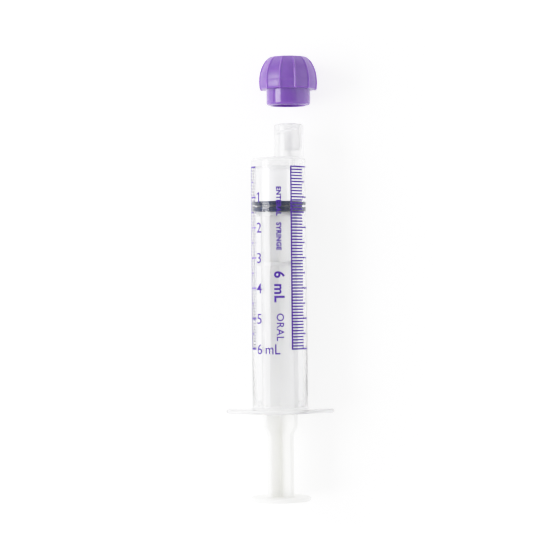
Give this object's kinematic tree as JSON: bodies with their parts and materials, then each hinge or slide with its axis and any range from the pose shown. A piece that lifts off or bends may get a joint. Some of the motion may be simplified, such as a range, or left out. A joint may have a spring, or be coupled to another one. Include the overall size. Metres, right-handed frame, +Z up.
{
  "type": "oral syringe",
  "caption": "Clear oral dosing syringe with an off-centre socket tip, a sealed sliding plunger, a finger flange and a ribbed domed cap held off the tip.",
  "frame": {"origin": "bottom centre of the box round the whole assembly, with the cap off the tip and the plunger drawn to 1.13 mL", "axes": "+Y along the barrel from the thumb disc to the tip, +X to the side the tip is offset to, +Z up from the surface the flange lies on"},
  "size_m": [0.0286, 0.1172, 0.0168],
  "materials": {
    "clear_barrel": "clear injection-moulded polypropylene, glossy and slightly milky",
    "seal_rubber": "dark moulded rubber, satin, lubricated",
    "clear_rod": "natural injection-moulded polypropylene, milky and glossy",
    "cap_plastic": "purple injection-moulded polyethylene, semi-gloss"
  },
  "bodies": {
    "barrel": {"barrel": "clear_barrel"},
    "piston": {"piston_seal": "seal_rubber"},
    "plunger": {"plunger_rod": "clear_rod"},
    "cap": {"tip_cap": "cap_plastic"}
  },
  "joints": [
    {"name": "plunger_slide", "type": "slide", "parent": "barrel", "child": "piston", "axis": [0, -1, 0], "range_m": [-0.00899, 0.0505]},
    {"name": "plunger_turn", "type": "hinge", "parent": "piston", "child": "plunger", "pos_m": [0, 0.01765, 0.00839], "axis": [0, 1, 0], "continuous": true},
    {"name": "cap_slide", "type": "slide", "parent": "barrel", "child": "cap", "axis": [0, 1, 0], "range_m": [-0.0124, 0.04]}
  ]
}
